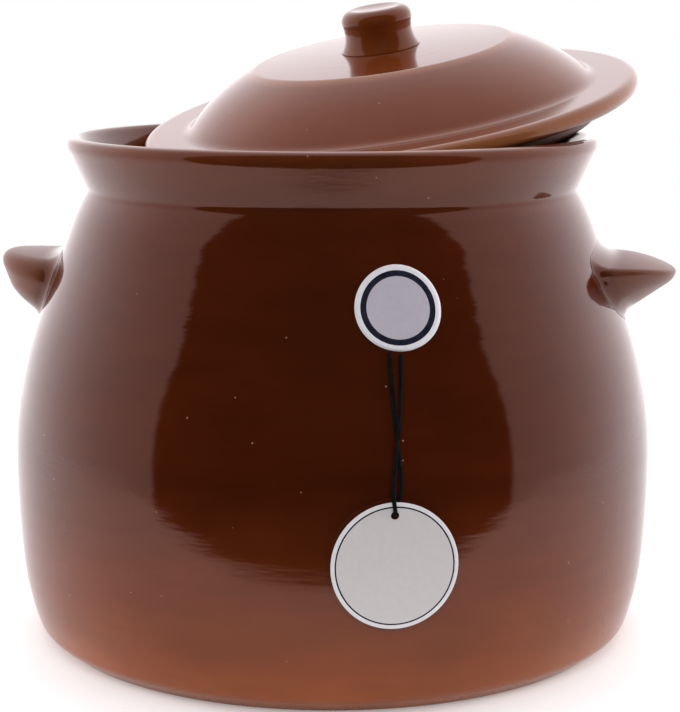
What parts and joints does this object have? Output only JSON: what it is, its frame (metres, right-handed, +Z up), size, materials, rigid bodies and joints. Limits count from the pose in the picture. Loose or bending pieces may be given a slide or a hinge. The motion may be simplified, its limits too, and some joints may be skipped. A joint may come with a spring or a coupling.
{
  "type": "stew pot with loose lid",
  "caption": "Round-bellied glazed earthenware stew pot with lug handles, a collared mouth and a loose, knobbed dome lid lying askew on the rim; a round sticker and a card tag on its front.",
  "frame": {"origin": "centre of the pot's flat base, on the surface it stands on", "axes": "+Z up along the pot's axis; the two lug handles lie on +X and -X; the sticker and the tag are on the -Y side, turned a little towards +X"},
  "size_m": [0.2772, 0.264, 0.2562],
  "materials": {
    "pot_glaze": "glossy",
    "lid_glaze": "satin",
    "sticker_paper": "gloss",
    "cord": "matte",
    "tag_card": "satin"
  },
  "bodies": {
    "pot": {"pot_body": "pot_glaze", "left_handle": "pot_glaze", "right_handle": "pot_glaze", "round_sticker": "sticker_paper"},
    "lid": {"lid": "lid_glaze", "lid_knob": "lid_glaze"},
    "cord": {"tag_cord": "cord"},
    "tag": {"swing_tag": "tag_card"}
  },
  "joints": [
    {"name": "lid_lift", "type": "slide", "parent": "pot", "child": "lid", "axis": [0, 0, 1], "range_m": [0, 0.15]},
    {"name": "tag_swing", "type": "hinge", "parent": "pot", "child": "cord", "pos_m": [0.036, -0.1129, 0.1344], "axis": [0.2957, -0.9553, 0], "range_deg": [-30, 30]},
    {"name": "tag_turn", "type": "hinge", "parent": "cord", "child": "tag", "pos_m": [0.03875, -0.12687, 0.0784], "axis": [0.2957, -0.9553, 0], "range_deg": [-35, 35]}
  ]
}
